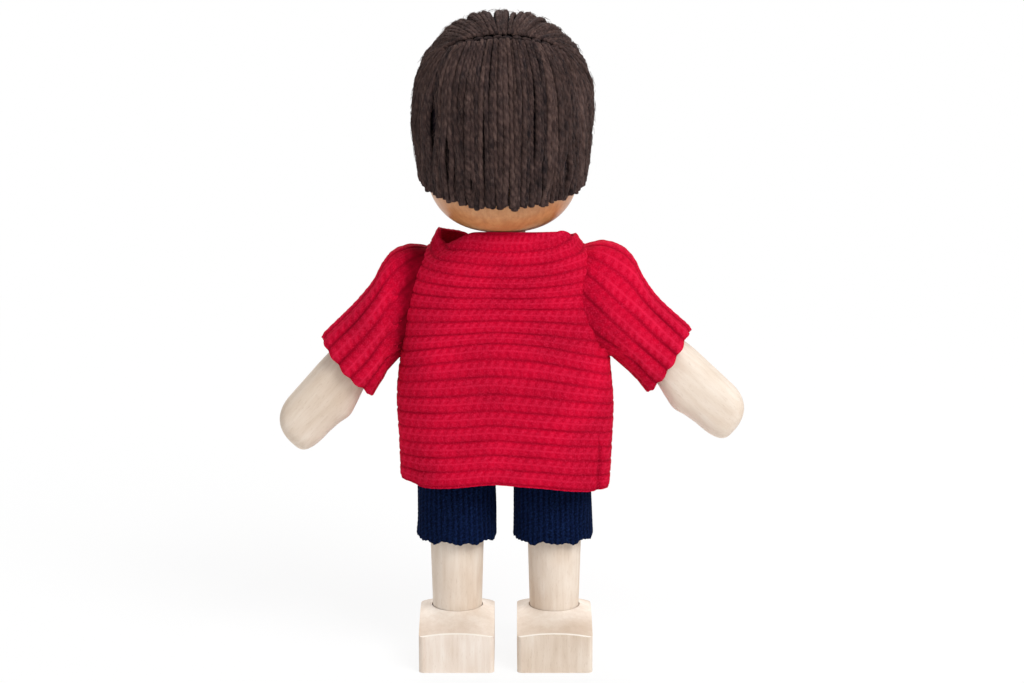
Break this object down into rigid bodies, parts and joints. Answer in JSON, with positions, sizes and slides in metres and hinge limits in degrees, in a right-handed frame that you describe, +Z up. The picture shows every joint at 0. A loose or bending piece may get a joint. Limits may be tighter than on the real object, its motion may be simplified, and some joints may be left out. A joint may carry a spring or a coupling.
{
  "type": "miniature jointed doll",
  "caption": "Small wooden doll with a turned head, yarn wig, knitted sweater and shorts, mitten hands and block feet; head turns, arms swing and lift, legs fold to sit.",
  "frame": {"origin": "on the floor, under the middle of the span from hand to hand; the neck stands 0.94 mm to its left because the right arm is raised more", "axes": "+Z up through the head, the doll faces -Y, its left arm is at +X"},
  "size_m": [0.0708, 0.0272, 0.1001],
  "materials": {
    "pale_wood": "bare sanded pale wood",
    "head_wood": "tan stain under a thin satin lacquer",
    "red_knit": "ribbed knit, matt",
    "navy_knit": "fine ribbed knit, matt",
    "brown_yarn": "twisted yarn, matt",
    "dark_cloth": "thin dark cloth, matt"
  },
  "bodies": {
    "torso": {"torso": "pale_wood", "neck_dowel": "pale_wood", "left_hip_tenon": "pale_wood", "right_hip_tenon": "pale_wood", "sweater_body": "red_knit", "shorts_waist": "navy_knit"},
    "head": {"head": "head_wood", "wig_cap": "dark_cloth", "hair_back": "brown_yarn", "hair_front": "brown_yarn", "hair_parting": "brown_yarn"},
    "left_shoulder": {"left_shoulder_knuckle": "pale_wood"},
    "right_shoulder": {"right_shoulder_knuckle": "pale_wood"},
    "left_arm": {"left_arm": "pale_wood", "left_shoulder_peg": "pale_wood", "left_sleeve": "red_knit"},
    "right_arm": {"right_arm": "pale_wood", "right_shoulder_peg": "pale_wood", "right_sleeve": "red_knit"},
    "left_leg": {"left_leg": "pale_wood", "left_hip_peg": "pale_wood", "left_foot": "pale_wood", "left_shorts_leg": "navy_knit"},
    "right_leg": {"right_leg": "pale_wood", "right_hip_peg": "pale_wood", "right_foot": "pale_wood", "right_shorts_leg": "navy_knit"}
  },
  "joints": [
    {"name": "neck_turn", "type": "hinge", "parent": "torso", "child": "head", "pos_m": [0.00094, 0, 0.067], "axis": [0, 0, 1], "range_deg": [-90, 90]},
    {"name": "left_shoulder_swing", "type": "hinge", "parent": "torso", "child": "left_shoulder", "pos_m": [0.01424, 0, 0.0579], "axis": [-1, 0, 0], "range_deg": [-40, 90], "deforming": ["left_sleeve"]},
    {"name": "left_shoulder_raise", "type": "hinge", "parent": "left_shoulder", "child": "left_arm", "pos_m": [0.01424, 0, 0.0579], "axis": [0, -1, 0], "range_deg": [-3, 56], "deforming": ["left_sleeve"]},
    {"name": "right_shoulder_swing", "type": "hinge", "parent": "torso", "child": "right_shoulder", "pos_m": [-0.01236, 0, 0.0579], "axis": [-1, 0, 0], "range_deg": [-40, 90], "deforming": ["right_sleeve"]},
    {"name": "right_shoulder_raise", "type": "hinge", "parent": "right_shoulder", "child": "right_arm", "pos_m": [-0.01236, 0, 0.0579], "axis": [0, 1, 0], "range_deg": [-8.5, 50.5], "deforming": ["right_sleeve"]},
    {"name": "left_hip", "type": "hinge", "parent": "torso", "child": "left_leg", "pos_m": [0.00844, 0, 0.026], "axis": [-1, 0, 0], "range_deg": [-20, 80], "deforming": ["left_shorts_leg"]},
    {"name": "right_hip", "type": "hinge", "parent": "torso", "child": "right_leg", "pos_m": [-0.00656, 0, 0.026], "axis": [-1, 0, 0], "range_deg": [-20, 80], "deforming": ["right_shorts_leg"]}
  ]
}
